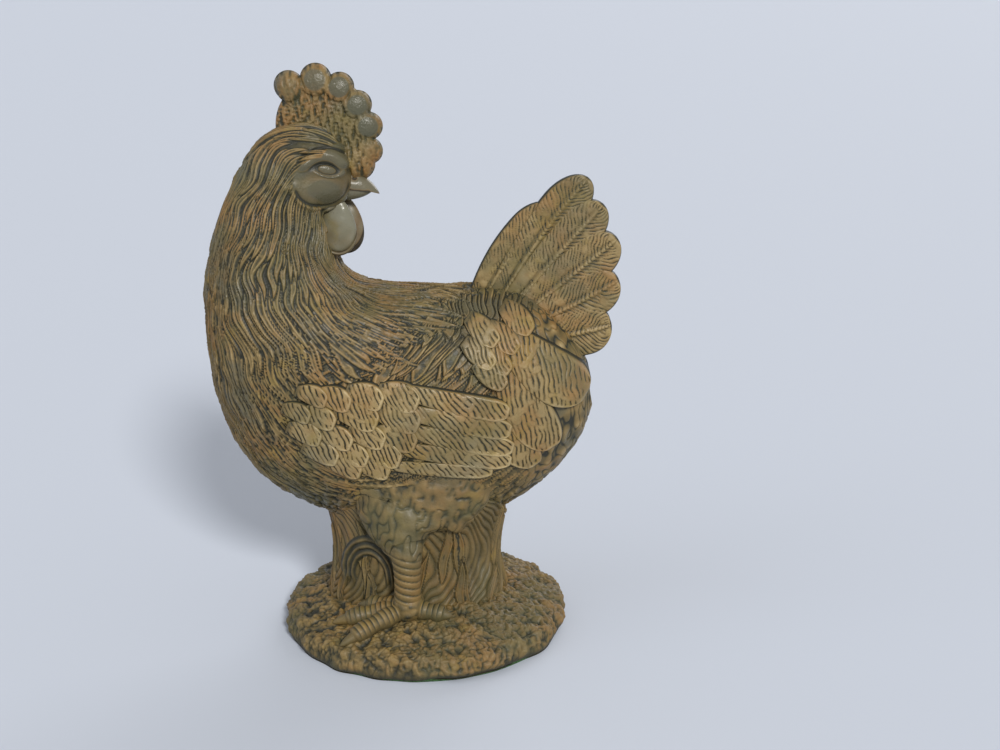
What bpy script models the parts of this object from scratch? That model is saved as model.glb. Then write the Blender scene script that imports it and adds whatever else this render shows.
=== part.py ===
"""Cast hen ornament that looks back over its tail, in the sections its casting divides into.

Millimetres times MM. Origin at the middle of the underside, +Z up, tail towards +X.
"""

import math

import bmesh
import bpy
import numpy as np
from mathutils import Matrix, Vector

MM = 0.001

# Body, as one lofted form from the face round the neck to the rump
BODY_FRONT_X = -139.0
BODY_LENGTH = 256.0
BELLY_Z = 78.0
BODY_HEIGHT = 265.0
BODY_HALF_WIDTH = 60.0
BODY_WALL = 8.0
NECK_JOINT = 0.86  # share of BODY_HEIGHT at which the head is cast on, at the nape
NECK_JOINT_ALONG = 0.105
NECK_JOINT_LEAN = 0.66  # the joint falls this much to each step towards the throat
CAVITY_TOP = 0.62  # the hollow stops in the neck, below the joint
CAVITY_MOUTH_RADIUS = 22.0

# Relief that stands on the body
WING_LIFT = 7.0
COVERT_LIFT = 6.0

# Head furniture
COMB_RADIUS = 34.0
COMB_LOBE = 10.0
COMB_LOBE_TURN = 27.0  # degrees from one lobe's middle to the next
COMB_THICKNESS = 13.0
BEAK_LENGTH = 19.0
BEAK_RADIUS = 8.5
WATTLE_LENGTH = 33.0
WATTLE_WIDTH = 26.0
WATTLE_THICKNESS = 9.0

# Tail
TAIL_THICKNESS = 22.0
TAIL_EDGE_THICKNESS = 9.0

# What the hen stands on
BASE_RADIUS = 96.5
BASE_RIM_HEIGHT = 11.0
MOUND_RISE = 17.0
POUR_HOLE_RADIUS = 24.0
FELT_THICKNESS = 2.0
FELT_MARGIN = 7.0
TUFT_HALF_LENGTH = 63.0
TUFT_HALF_WIDTH = 44.0
TUFT_CENTRE_X = -5.0
TUFT_WALL = 14.0
TUFT_OVER_BELLY = 16.0

# Legs
LEG_X = -9.0
LEG_Y = 50.0
THIGH_RADIUS = 25.0
THIGH_TUCK = 20.0  # how far the thigh leans in under the wing
SHANK_RADIUS = 8.5
TOE_RADIUS = 6.5
TOE_LENGTHS = (50.0, 50.0, 36.0, 30.0)
TOE_TURNS = (212.0, 184.0, 160.0, 350.0)

CLEARANCE = 0.3

# Sections from face to rump: where each meets the outer line (breast side) and the inner line (back
# side), as shares of the body's length and height, and its share of the half width
SECTIONS = (
    (0.373, 0.890, 0.373, 0.850, 0.16),
    (0.352, 0.960, 0.352, 0.812, 0.31),
    (0.296, 0.996, 0.302, 0.778, 0.39),
    (0.220, 0.995, 0.312, 0.735, 0.45),
    (0.160, 0.962, 0.322, 0.700, 0.50),
    (0.105, 0.895, 0.330, 0.672, 0.58),
    (0.045, 0.775, 0.345, 0.645, 0.70),
    (0.012, 0.665, 0.372, 0.618, 0.80),
    (0.000, 0.555, 0.410, 0.603, 0.89),
    (0.004, 0.430, 0.460, 0.598, 0.96),
    (0.028, 0.300, 0.520, 0.598, 1.00),
    (0.080, 0.180, 0.575, 0.598, 1.00),
    (0.170, 0.085, 0.620, 0.598, 0.99),
    (0.300, 0.022, 0.660, 0.600, 0.97),
    (0.455, 0.000, 0.700, 0.602, 0.93),
    (0.620, 0.006, 0.745, 0.600, 0.86),
    (0.765, 0.040, 0.800, 0.590, 0.76),
    (0.880, 0.120, 0.862, 0.555, 0.62),
    (0.955, 0.215, 0.925, 0.490, 0.44),
    (0.985, 0.300, 0.965, 0.425, 0.24),
)
RING = 28
STEPS = 2

parts = bpy.data.collections.new("hen_ornament")
cutters = bpy.data.collections.new("cutters")


def clear_scene():
    for obj in list(bpy.data.objects):
        bpy.data.objects.remove(obj, do_unlink=True)
    for collection in (parts, cutters):
        bpy.context.scene.collection.children.link(collection)


def material(name, colour, roughness):
    made = bpy.data.materials.new(name)
    made.use_nodes = True
    shader = made.node_tree.nodes["Principled BSDF"]
    shader.inputs["Base Color"].default_value = (*colour, 1.0)
    shader.inputs["Roughness"].default_value = roughness
    made.diffuse_color = (*colour, 1.0)
    return made


def new_object(name, mesh, collection):
    obj = bpy.data.objects.new(name, mesh)
    collection.objects.link(obj)
    if collection is cutters:
        obj.hide_render = True
        obj.display_type = "WIRE"
    return obj


def finish(obj, colour, roughness=0.5, smooth=True):
    """Give a node its own material, and smooth shading where it is round."""
    obj.data.materials.clear()
    obj.data.materials.append(material(obj.name, colour, roughness))
    obj.data.polygons.foreach_set("use_smooth", [smooth] * len(obj.data.polygons))


def loft(name, rings, collection=cutters):
    """A closed mesh through rings of points, each end closed by a flat cap."""
    rings = np.asarray(rings, float)
    count, around = rings.shape[:2]
    built = bmesh.new()
    rows = [[built.verts.new(Vector(point) * MM) for point in ring] for ring in rings]
    for lower, upper in zip(rows, rows[1:]):
        for i in range(around):
            j = (i + 1) % around
            built.faces.new((lower[i], lower[j], upper[j], upper[i]))
    built.faces.new(rows[0])
    built.faces.new(rows[-1])
    bmesh.ops.recalc_face_normals(built, faces=built.faces)
    mesh = bpy.data.meshes.new(name)
    built.to_mesh(mesh)
    built.free()
    return new_object(name, mesh, collection)


def smooth_through(rows, steps):
    """Catmull-Rom points through rows of numbers, with steps of them to each span."""
    rows = np.asarray(rows, float)
    padded = np.vstack([2 * rows[0] - rows[1], rows, 2 * rows[-1] - rows[-2]])
    found = []
    for a, b, c, d in zip(padded, padded[1:], padded[2:], padded[3:]):
        for t in np.arange(steps) / steps:
            found.append(
                0.5 * (2 * b + (c - a) * t + (2 * a - 5 * b + 4 * c - d) * t**2
                       + (3 * b - a - 3 * c + d) * t**3)
            )
    found.append(rows[-1])
    return np.array(found)


def body_point(along, up):
    """Where a share of the body's length and of its height lies in the middle plane."""
    return BODY_FRONT_X + along * BODY_LENGTH, BELLY_Z + up * BODY_HEIGHT


def body_rings(grow=0.0, sections=SECTIONS):
    rings = []
    for outer_x, outer_z, inner_x, inner_z, width in smooth_through(sections, STEPS):
        outer = np.array(body_point(outer_x, outer_z))
        inner = np.array(body_point(inner_x, inner_z))
        middle = (outer + inner) / 2
        chord = (outer - inner) / 2
        half = np.linalg.norm(chord)
        across = chord / half * (half + grow)
        wide = width * BODY_HALF_WIDTH + grow
        turns = np.arange(RING) * 2 * math.pi / RING
        rings.append([
            (middle[0] + across[0] * math.cos(a), wide * math.sin(a), middle[1] + across[1] * math.cos(a))
            for a in turns
        ])
    return rings


def tapered(name, points, radii, sides=14, flatten=1.0, collection=cutters):
    """A round bar along points whose radius changes, flattened across Y."""
    points = smooth_through(points, 3)
    radii = smooth_through([[r] for r in radii], 3)[:, 0]
    rings = []
    for i, (point, radius) in enumerate(zip(points, radii)):
        ahead = points[min(i + 1, len(points) - 1)] - points[max(i - 1, 0)]
        ahead = ahead / np.linalg.norm(ahead)
        guide = np.array([0.0, 1.0, 0.0]) if abs(ahead[1]) < 0.9 else np.array([0.0, 0.0, 1.0])
        side = np.cross(ahead, guide)
        side = side / np.linalg.norm(side)
        other = np.cross(side, ahead)
        turns = np.arange(sides) * 2 * math.pi / sides
        rings.append([point + radius * (math.cos(a) * side + flatten * math.sin(a) * other) for a in turns])
    return loft(name, rings, collection)


def boolean(obj, other, operation):
    modifier = obj.modifiers.new(f"{operation.lower()}_{other.name}", "BOOLEAN")
    modifier.object = other
    modifier.operation = operation
    modifier.solver = "EXACT"


def applied(obj, name, collection):
    """The object's evaluated mesh as a new object, and the old one removed."""
    graph = bpy.context.evaluated_depsgraph_get()
    mesh = bpy.data.meshes.new_from_object(obj.evaluated_get(graph))
    mesh.transform(obj.matrix_world)
    bpy.data.objects.remove(obj, do_unlink=True)
    built = bmesh.new()
    built.from_mesh(mesh)
    bmesh.ops.remove_doubles(built, verts=built.verts, dist=1e-6)
    built.to_mesh(mesh)
    built.free()
    return new_object(name, mesh, collection)


def grown(name, obj, by):
    """A copy of a cutter with its surface moved outwards, for the neighbours that it trims."""
    built = bmesh.new()
    built.from_mesh(obj.data)
    built.normal_update()
    shifts = [vert.normal * by * MM for vert in built.verts]
    for vert, shift in zip(built.verts, shifts):
        vert.co += shift
    mesh = bpy.data.meshes.new(name)
    built.to_mesh(mesh)
    built.free()
    return new_object(name, mesh, cutters)


def outline_prism(name, points, near, far):
    """A closed outline in the XZ plane, given depth from one Y to another."""
    curve = bpy.data.curves.new(name, "CURVE")
    curve.dimensions = "2D"
    curve.fill_mode = "BOTH"
    curve.extrude = abs(far - near) / 2 * MM
    spline = curve.splines.new("POLY")
    spline.points.add(len(points) - 1)
    for spot, (x, z) in zip(spline.points, points):
        spot.co = (x * MM, z * MM, 0.0, 1.0)
    spline.use_cyclic_u = True
    obj = new_object(name + "_outline", curve, cutters)
    obj.matrix_world = Matrix.Translation((0.0, (near + far) / 2 * MM, 0.0)) @ Matrix.Rotation(
        math.pi / 2, 4, "X")
    bpy.context.view_layer.update()
    return applied(obj, name, cutters)


def neck_joint_box(name, raised):
    """Everything above the neck joint on the head's side of the back, as a leaning box."""
    x, z = body_point(NECK_JOINT_ALONG, NECK_JOINT)
    reach, height, lead = 0.5 * BODY_LENGTH, 0.6 * BODY_HEIGHT, 0.12 * BODY_LENGTH
    lean = math.atan(NECK_JOINT_LEAN)
    bpy.ops.mesh.primitive_cube_add(size=1.0)
    box = bpy.context.object
    box.scale = (reach * MM, 3 * BODY_HALF_WIDTH * MM, height * MM)
    box.rotation_euler = (0.0, lean, 0.0)
    centre = Vector((x, 0.0, z + raised)) + Matrix.Rotation(lean, 3, "Y") @ Vector(
        (reach / 2 - lead, 0.0, height / 2))
    box.location = centre * MM
    bpy.context.view_layer.update()
    return applied(box, name, cutters)


def make_body_and_head():
    head = loft("head", body_rings(), parts)
    boolean(head, neck_joint_box("head_side", 1.2 * CLEARANCE), "INTERSECT")
    shell = loft("body_shell", body_rings(), parts)
    boolean(shell, neck_joint_box("head_room", 0.0), "DIFFERENCE")
    inside = [row for row in SECTIONS if row[1] < CAVITY_TOP + 0.1 and row[4] > 0.5]
    cavity = loft("body_cavity", body_rings(-BODY_WALL, inside))
    mouth_bottom = BELLY_Z - BODY_WALL
    mouth = upright_cylinder("cavity_mouth", CAVITY_MOUTH_RADIUS, mouth_bottom, BELLY_Z + 3 * BODY_WALL)
    boolean(shell, cavity, "DIFFERENCE")
    boolean(shell, mouth, "DIFFERENCE")
    finish(head, (0.15, 0.13, 0.07))
    finish(shell, (0.13, 0.11, 0.06))


def upright_cylinder(name, radius, bottom, top):
    middle = (TUFT_CENTRE_X * MM, 0.0, (bottom + top) / 2 * MM)
    bpy.ops.mesh.primitive_cylinder_add(vertices=32, radius=radius * MM, depth=(top - bottom) * MM,
                                        location=middle)
    made = bpy.context.object
    return applied(made, name, cutters)


def relief_plate(name, outline, lift, side, body_trim, colour):
    """A plate that follows the body's flank: the body grown by the lift, inside the outline."""
    plate = loft(name, body_rings(lift), parts)
    reach = BODY_HALF_WIDTH + 2 * lift
    prism = outline_prism(f"{name}_prism", outline, side * 8.0, side * reach)
    boolean(plate, prism, "INTERSECT")
    boolean(plate, body_trim, "DIFFERENCE")
    finish(plate, colour)
    return plate


def wing_outline():
    shares = smooth_through([
        (0.270, 0.395), (0.290, 0.290), (0.360, 0.205), (0.470, 0.165), (0.600, 0.150),
        (0.700, 0.160), (0.775, 0.185), (0.795, 0.240), (0.790, 0.320), (0.740, 0.385),
        (0.600, 0.405), (0.430, 0.425), (0.330, 0.425),
    ], 2)
    return [body_point(along, up) for along, up in shares]


def covert_outline():
    shares = smooth_through([
        (0.800, 0.400), (0.815, 0.300), (0.850, 0.200), (0.905, 0.200), (0.950, 0.265),
        (0.968, 0.335), (0.955, 0.400), (0.930, 0.450), (0.860, 0.475),
    ], 2)
    return [body_point(along, up) for along, up in shares]


def make_tail(body_trim):
    """Overlapping feathers that fan up and back from the rump."""
    root = body_point(0.800, 0.500)
    tips = ((0.895, 0.790, 13.0), (0.966, 0.872, 13.0), (1.004, 0.800, 15.0), (1.040, 0.722, 15.0),
            (1.043, 0.622, 15.0), (1.022, 0.505, 16.0))
    tail = None
    for number, (along, up, half_width) in enumerate(tips):
        tip = np.array(body_point(along, up))
        start = np.array(root)
        ahead = (tip - start) / np.linalg.norm(tip - start)
        across = np.array([-ahead[1], ahead[0]])
        length = np.linalg.norm(tip - start)
        rings = []
        for share, wide in ((0.0, 0.75), (0.2, 0.95), (0.45, 1.08), (0.7, 1.05), (0.87, 0.85), (0.96, 0.5), (1.0, 0.2)):
            spot = start + ahead * length * share
            deep = TAIL_THICKNESS + (TAIL_EDGE_THICKNESS - TAIL_THICKNESS) * share
            rings.append([
                (spot[0] + across[0] * half_width * wide * math.cos(a),
                 (deep / 2 - 0.4 * number) * math.sin(a),
                 spot[1] + across[1] * half_width * wide * math.cos(a))
                for a in np.arange(16) * math.pi / 8
            ])
        if tail is None:
            tail = loft("tail_fan", rings, parts)
        else:
            boolean(tail, loft(f"tail_feather_{number}", rings), "UNION")
    boolean(tail, body_trim, "DIFFERENCE")
    finish(tail, (0.20, 0.17, 0.09))
    return tail


def make_comb(head_trim):
    """A lobed single comb, lens-shaped across, seated on the crown."""
    centre = np.array(body_point(0.302, 0.972))
    outline = []
    for degrees in range(-24, 208, 4):
        lobe = abs(math.cos(math.radians((degrees - 14.0) * 180.0 / COMB_LOBE_TURN)))
        falls = max(0.0, degrees - 128.0) / 76.0
        radius = (COMB_RADIUS + COMB_LOBE * lobe**0.6) * (1.0 - 0.42 * falls)
        angle = math.radians(degrees)
        outline.append(radius * np.array([math.cos(angle), math.sin(angle)]))
    rings = []
    for across, size in ((-0.5, 0.86), (-0.34, 0.96), (0.0, 1.0), (0.34, 0.96), (0.5, 0.86)):
        spots = [centre + size * spot for spot in outline]
        rings.append([(x, across * COMB_THICKNESS, z) for x, z in spots])
    comb = loft("comb", rings, parts)
    boolean(comb, head_trim, "DIFFERENCE")
    finish(comb, (0.16, 0.14, 0.08))


def make_beak(head_trim):
    root_x, root_z = body_point(0.366, 0.862)
    drop = 0.18 * BEAK_LENGTH
    for name, sign, share in (("beak_upper", 1.0, 1.0), ("beak_lower", -1.0, 0.72)):
        height = BEAK_RADIUS * (1.0 if sign > 0 else 0.55)
        length = BEAK_LENGTH * share
        rings = []
        for along, size in ((-0.55, 1.05), (0.0, 1.0), (0.35, 0.85), (0.7, 0.55), (1.0, 0.14)):
            sag = drop * along * abs(along) * share
            rings.append([
                (root_x + length * along, BEAK_RADIUS * size * math.cos(a),
                 root_z - sag + sign * (CLEARANCE / 2 + height * size * math.sin(a)))
                for a in np.arange(13) * math.pi / 12
            ])
        beak = loft(name, rings, parts)
        boolean(beak, head_trim, "DIFFERENCE")
        finish(beak, (0.30, 0.22, 0.10))


def make_wattles(head_trim):
    for name, side in (("wattle_right", -1.0), ("wattle_left", 1.0)):
        x, z = body_point(0.347, 0.752)
        middle = Vector((x * MM, side * (WATTLE_THICKNESS * 0.5 + 2.5) * MM, z * MM))
        bpy.ops.mesh.primitive_uv_sphere_add(segments=20, ring_count=12, radius=1.0, location=middle)
        made = bpy.context.object
        made.scale = (WATTLE_WIDTH / 2 * MM, WATTLE_THICKNESS / 2 * MM, WATTLE_LENGTH / 2 * MM)
        made.rotation_euler = (math.radians(-8.0 * side), 0.0, 0.0)
        bpy.context.view_layer.update()
        wattle = applied(made, name, parts)
        boolean(wattle, head_trim, "DIFFERENCE")
        finish(wattle, (0.28, 0.27, 0.22), 0.35)


def base_height(radius):
    """Height of the mound's upper face at a distance from the middle."""
    share = min(1.0, radius / BASE_RADIUS)
    return FELT_THICKNESS + CLEARANCE + BASE_RIM_HEIGHT + MOUND_RISE * (1.0 - share**2.6)


def make_base():
    """A turned mound on a flat foot, bored through for pouring, with felt under it."""
    foot = FELT_THICKNESS + CLEARANCE
    hole = POUR_HOLE_RADIUS
    profile = [(hole, foot), (hole, base_height(hole))]
    profile += [(r, base_height(r)) for r in np.linspace(hole, BASE_RADIUS - 4.0, 9)[1:]]
    profile += [(BASE_RADIUS, foot + BASE_RIM_HEIGHT * 0.62), (BASE_RADIUS - 1.0, foot + 3.0),
                (BASE_RADIUS - 4.0, foot)]
    base = turned("base_mound", profile)
    finish(base, (0.17, 0.13, 0.07), 0.7)
    felt = turned("felt_pad", [(0.0, 0.0), (0.0, FELT_THICKNESS), (BASE_RADIUS - FELT_MARGIN, FELT_THICKNESS),
                               (BASE_RADIUS - FELT_MARGIN, 0.0)], closed=False)
    finish(felt, (0.05, 0.12, 0.05), 0.95)
    return base


def turned(name, profile, closed=True):
    """A profile in the XZ plane turned about Z, its upper face first."""
    built = bmesh.new()
    spots = [built.verts.new((x * MM, 0.0, z * MM)) for x, z in profile]
    pairs = list(zip(spots, spots[1:])) + ([(spots[-1], spots[0])] if closed else [])
    for first, second in pairs:
        built.edges.new((first, second))
    bmesh.ops.spin(built, geom=built.verts[:] + built.edges[:], cent=(0, 0, 0), axis=(0, 0, 1),
                   angle=2 * math.pi, steps=56, use_merge=True, use_duplicate=False)
    if not closed:
        built.verts.ensure_lookup_table()
        bmesh.ops.remove_doubles(built, verts=built.verts, dist=1e-6)
        bmesh.ops.holes_fill(built, edges=[edge for edge in built.edges if edge.is_boundary])
    bmesh.ops.remove_doubles(built, verts=built.verts, dist=1e-6)
    bmesh.ops.recalc_face_normals(built, faces=built.faces)
    mesh = bpy.data.meshes.new(name)
    built.to_mesh(mesh)
    built.free()
    return new_object(name, mesh, parts)


def tuft_rings(grow, bottom, top):
    rings = []
    for height, spread in ((bottom, 1.02), (bottom + (top - bottom) * 0.35, 1.05), (top, 1.0)):
        rings.append([
            (TUFT_CENTRE_X + (TUFT_HALF_LENGTH * spread + grow) * math.cos(a),
             (TUFT_HALF_WIDTH * spread + grow) * math.sin(a), height)
            for a in np.arange(40) * math.pi / 20
        ])
    return rings


def make_tuft(body_trim, base_trim):
    top = BELLY_Z + TUFT_OVER_BELLY
    tuft = loft("grass_tuft", tuft_rings(0.0, BASE_RIM_HEIGHT, top), parts)
    bore = loft("tuft_bore", tuft_rings(-TUFT_WALL, 0.0, top + BODY_WALL))
    boolean(tuft, bore, "DIFFERENCE")
    boolean(tuft, base_trim, "DIFFERENCE")
    boolean(tuft, body_trim, "DIFFERENCE")
    finish(tuft, (0.11, 0.10, 0.05), 0.6)
    return loft("tuft_trim", tuft_rings(CLEARANCE, 0.0, top + CLEARANCE))


def make_legs(trims):
    """Thigh and shank in one casting, then a foot of four toes under it."""
    knee_z = BELLY_Z - 5.0
    ankle_z = base_height(math.hypot(LEG_X, LEG_Y)) + 2.4 * TOE_RADIUS
    for name, side in (("right", -1.0), ("left", 1.0)):
        y = side * LEG_Y
        line = [(LEG_X + 1.0, y - side * THIGH_TUCK, BELLY_Z + 25.0),
                (LEG_X - 1.0, y - side * THIGH_TUCK * 0.6, BELLY_Z + 11.0),
                (LEG_X, y, knee_z), (LEG_X, y, (knee_z + ankle_z) / 2), (LEG_X, y, ankle_z)]
        sizes = [THIGH_RADIUS, THIGH_RADIUS * 0.85, SHANK_RADIUS * 1.3, SHANK_RADIUS, SHANK_RADIUS]
        leg = tapered(f"leg_{name}", line, sizes, collection=parts)
        for trim in trims:
            boolean(leg, trim, "DIFFERENCE")
        finish(leg, (0.12, 0.10, 0.05))
        foot = make_foot(f"foot_{name}", side, ankle_z - CLEARANCE)
        for trim in trims:
            boolean(foot, trim, "DIFFERENCE")
        finish(foot, (0.15, 0.12, 0.06))


def make_foot(name, side, top):
    ankle = np.array([LEG_X, side * LEG_Y, top])
    foot = tapered(name, [ankle, ankle - (0, 0, 5.0), ankle - (0, 0, 13.0)],
                   [SHANK_RADIUS, SHANK_RADIUS * 1.15, SHANK_RADIUS], collection=parts)
    for number, (length, turn) in enumerate(zip(TOE_LENGTHS, TOE_TURNS)):
        angle = math.radians(turn)
        ahead = np.array([math.cos(angle), -side * math.sin(angle), 0.0])
        line = []
        for share in (0.0, 0.3, 0.6, 0.85, 1.0):
            spot = ankle + ahead * length * share
            spot[2] = base_height(math.hypot(spot[0], spot[1])) + TOE_RADIUS * (0.75 - 0.45 * share)
            line.append(spot)
        sizes = [TOE_RADIUS * k for k in (1.0, 1.0, 0.95, 0.7, 0.3)]
        boolean(foot, tapered(f"{name}_toe_{number}", line, sizes, sides=10), "UNION")
    return foot


def main():
    clear_scene()
    body = loft("body_form", body_rings())
    body_trim = grown("body_trim", body, CLEARANCE)
    make_body_and_head()
    base = make_base()
    base_trim = grown("base_trim", base, CLEARANCE)
    tuft_trim = make_tuft(body_trim, base_trim)
    make_legs((body_trim, tuft_trim, base_trim))
    for side, name in ((-1.0, "right"), (1.0, "left")):
        relief_plate(f"wing_{name}", wing_outline(), WING_LIFT, side, body_trim, (0.20, 0.17, 0.11))
        relief_plate(f"tail_coverts_{name}", covert_outline(), COVERT_LIFT, side, body_trim, (0.18, 0.15, 0.09))
    make_tail(body_trim)
    make_comb(body_trim)
    make_beak(body_trim)
    make_wattles(body_trim)


main()
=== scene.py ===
"""Looks of the cast hen ornament: sculpted plumage, comb, wattles, grass and mound under an aged patina.

Millimetres times MM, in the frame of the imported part: underside at Z = 0, tail towards +X, shown side -Y.
"""

from math import cos, hypot, pi, radians, sin, sqrt

import bpy
import numpy as np
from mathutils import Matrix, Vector
from mathutils.bvhtree import BVHTree
from numpy.linalg import norm


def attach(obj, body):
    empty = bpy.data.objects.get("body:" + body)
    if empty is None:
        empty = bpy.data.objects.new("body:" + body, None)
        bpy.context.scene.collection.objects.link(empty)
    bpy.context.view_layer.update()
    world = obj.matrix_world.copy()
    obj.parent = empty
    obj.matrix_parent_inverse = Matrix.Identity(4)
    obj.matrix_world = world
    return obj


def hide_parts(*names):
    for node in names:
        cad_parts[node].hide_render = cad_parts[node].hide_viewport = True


MM = 0.001
draw = np.random.default_rng(7).uniform

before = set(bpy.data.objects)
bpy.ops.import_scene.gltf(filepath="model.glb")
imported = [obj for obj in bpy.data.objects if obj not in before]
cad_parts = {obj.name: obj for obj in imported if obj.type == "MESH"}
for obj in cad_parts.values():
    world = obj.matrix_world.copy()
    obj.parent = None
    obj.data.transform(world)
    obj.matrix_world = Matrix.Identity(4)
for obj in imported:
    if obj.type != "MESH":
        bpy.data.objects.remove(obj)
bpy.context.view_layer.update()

# Body form, from the part's own driving sizes
BODY_FRONT_X = -139.0
BODY_LENGTH = 256.0
BELLY_Z = 78.0
BODY_HEIGHT = 265.0
BODY_HALF_WIDTH = 60.0
SECTIONS = (
    (0.373, 0.890, 0.373, 0.850, 0.16),
    (0.352, 0.960, 0.352, 0.812, 0.31),
    (0.296, 0.996, 0.302, 0.778, 0.39),
    (0.220, 0.995, 0.312, 0.735, 0.45),
    (0.160, 0.962, 0.322, 0.700, 0.50),
    (0.105, 0.895, 0.330, 0.672, 0.58),
    (0.045, 0.775, 0.345, 0.645, 0.70),
    (0.012, 0.665, 0.372, 0.618, 0.80),
    (0.000, 0.555, 0.410, 0.603, 0.89),
    (0.004, 0.430, 0.460, 0.598, 0.96),
    (0.028, 0.300, 0.520, 0.598, 1.00),
    (0.080, 0.180, 0.575, 0.598, 1.00),
    (0.170, 0.085, 0.620, 0.598, 0.99),
    (0.300, 0.022, 0.660, 0.600, 0.97),
    (0.455, 0.000, 0.700, 0.602, 0.93),
    (0.620, 0.006, 0.745, 0.600, 0.86),
    (0.765, 0.040, 0.800, 0.590, 0.76),
    (0.880, 0.120, 0.862, 0.555, 0.62),
    (0.955, 0.215, 0.925, 0.490, 0.44),
    (0.985, 0.300, 0.965, 0.425, 0.24),
)
BODY_ROWS, BODY_AROUND, NEAR_BLUR, FAR_BLUR = ((640, 520, 7, 26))

# Base, tuft and legs
BASE_RADIUS = 96.5
BASE_FOOT = 2.3
BASE_RIM_HEIGHT = 11.0
MOUND_RISE = 17.0
TUFT_CENTRE_X = -5.0
TUFT_HALF_LENGTH = 63.0
TUFT_HALF_WIDTH = 44.0
TUFT_TOP = BELLY_Z + 16.0
LEG_X = -9.0
LEG_Y = 50.0
TOE_RADIUS = 6.5
TOES = ((50.0, 212.0), (50.0, 184.0), (36.0, 160.0), (30.0, 350.0))


WAVES = 18


def ripple(points, wavelength, seed):
    """A smooth random field over points, about -1 to 1, from plane waves near one wavelength."""
    rng = np.random.default_rng(seed)
    total = np.zeros(points.shape[:-1])
    for _ in range(WAVES):
        direction = rng.normal(size=3)
        direction *= 2 * pi / (wavelength * rng.uniform(0.7, 1.5)) / norm(direction)
        total += np.sin(points @ direction + rng.uniform(0, 2 * pi))
    return total / sqrt(WAVES / 2) * 0.6


def unit(value):
    return np.clip(value, 0.0, 1.0)


def ease(low, high, value):
    """Smoothly from 0 to 1 as a value goes from low to high."""
    share = unit((value - low) / (high - low))
    return share * share * (3 - 2 * share)


def peak(value, middle, width):
    """1 where the value is at the middle, falling to 0 over about twice the width on both sides."""
    return np.exp(-(((value - middle) / width) ** 2))


def circle(count):
    return np.arange(count) * 2 * pi / count


def doubled(front, back):
    """Two sheets as one grid that wraps round: the front's columns, then the back's in reverse."""
    return np.concatenate([front, back[:, ::-1]], axis=1)


def turned(x, z, lean):
    """Distances along and across a direction that leans by an angle."""
    return x * cos(lean) + z * sin(lean), -x * sin(lean) + z * cos(lean)


def places(x, y, z):
    return np.stack(np.broadcast_arrays(x, y, z), axis=-1)


def blend(first, second, share):
    return first * (1 - share) + second * share


def through(rows, at):
    """Catmull-Rom values through rows of numbers, at places counted in rows."""
    rows = np.asarray(rows, float)
    padded = np.vstack([2 * rows[0] - rows[1], rows, 2 * rows[-1] - rows[-2]])
    at = np.clip(np.asarray(at, float), 0, len(rows) - 1)
    i = np.minimum(at.astype(int), len(rows) - 2)
    t = (at - i)[:, None]
    a, b, c, d = (padded[i + k] for k in range(4))
    return 0.5 * (2 * b + (c - a) * t + (2 * a - 5 * b + 4 * c - d) * t**2 + (3 * b - a - 3 * c + d) * t**3)


def evenly(rows, count):
    """Values through rows of numbers whose first two columns are a place, evenly along it."""
    dense = through(rows, np.linspace(0, len(rows) - 1, 40 * len(rows)))
    steps = norm(np.diff(dense[:, :2], axis=0), axis=1)
    along = np.concatenate([[0], np.cumsum(steps)])
    wanted = np.linspace(0, along[-1], count)
    return np.stack([np.interp(wanted, along, column) for column in dense.T], axis=1)


def blurred(field, reach):
    """A box blur, twice, along rows and round columns."""
    for _ in range(2):
        for axis, mode in ((0, "edge"), (1, "wrap")):
            pad = [(0, 0), (0, 0)]
            pad[axis] = (reach, reach)
            total = np.insert(np.cumsum(np.pad(field, pad, mode=mode), axis=axis), 0, 0.0, axis=axis)
            size = 2 * reach + 1
            starts = np.arange(field.shape[axis])
            field = (np.take(total, starts + size, axis=axis) - np.take(total, starts, axis=axis)) / size
    return field


def creased(points, seed, wavelength=7.0):
    """Winding creases, longer than they are wide: 1 in a crease and 0 between them."""
    return peak(ripple(points * (1, 1, 0.5), wavelength, seed), 0.0, 0.24)


def hatch(phase):
    """Narrow grooves at whole numbers of phase: 1 in a groove, 0 on the land between."""
    return (0.5 + 0.5 * np.cos(2 * pi * phase)) ** 5


def grid_normals(points):
    """Unit normals of a grid that wraps round its columns."""
    along = np.gradient(points, axis=0)
    around = np.roll(points, -1, axis=1) - np.roll(points, 1, axis=1)
    normal = np.cross(along, around)
    normal /= norm(normal, axis=2, keepdims=True) + 1e-12
    outward = points - points.mean(axis=1, keepdims=True)
    return normal * np.sign((normal * outward).sum())


def grid_quads(rows, around):
    """Faces between the rows of a grid that wraps round its columns, as numbers of its points."""
    i, j = np.ogrid[:rows - 1, :around]
    i, k = i * around, (j + 1) % around
    return np.stack([i + j, i + k, i + around + k, i + around + j], axis=-1).reshape(-1, 4)


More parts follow.
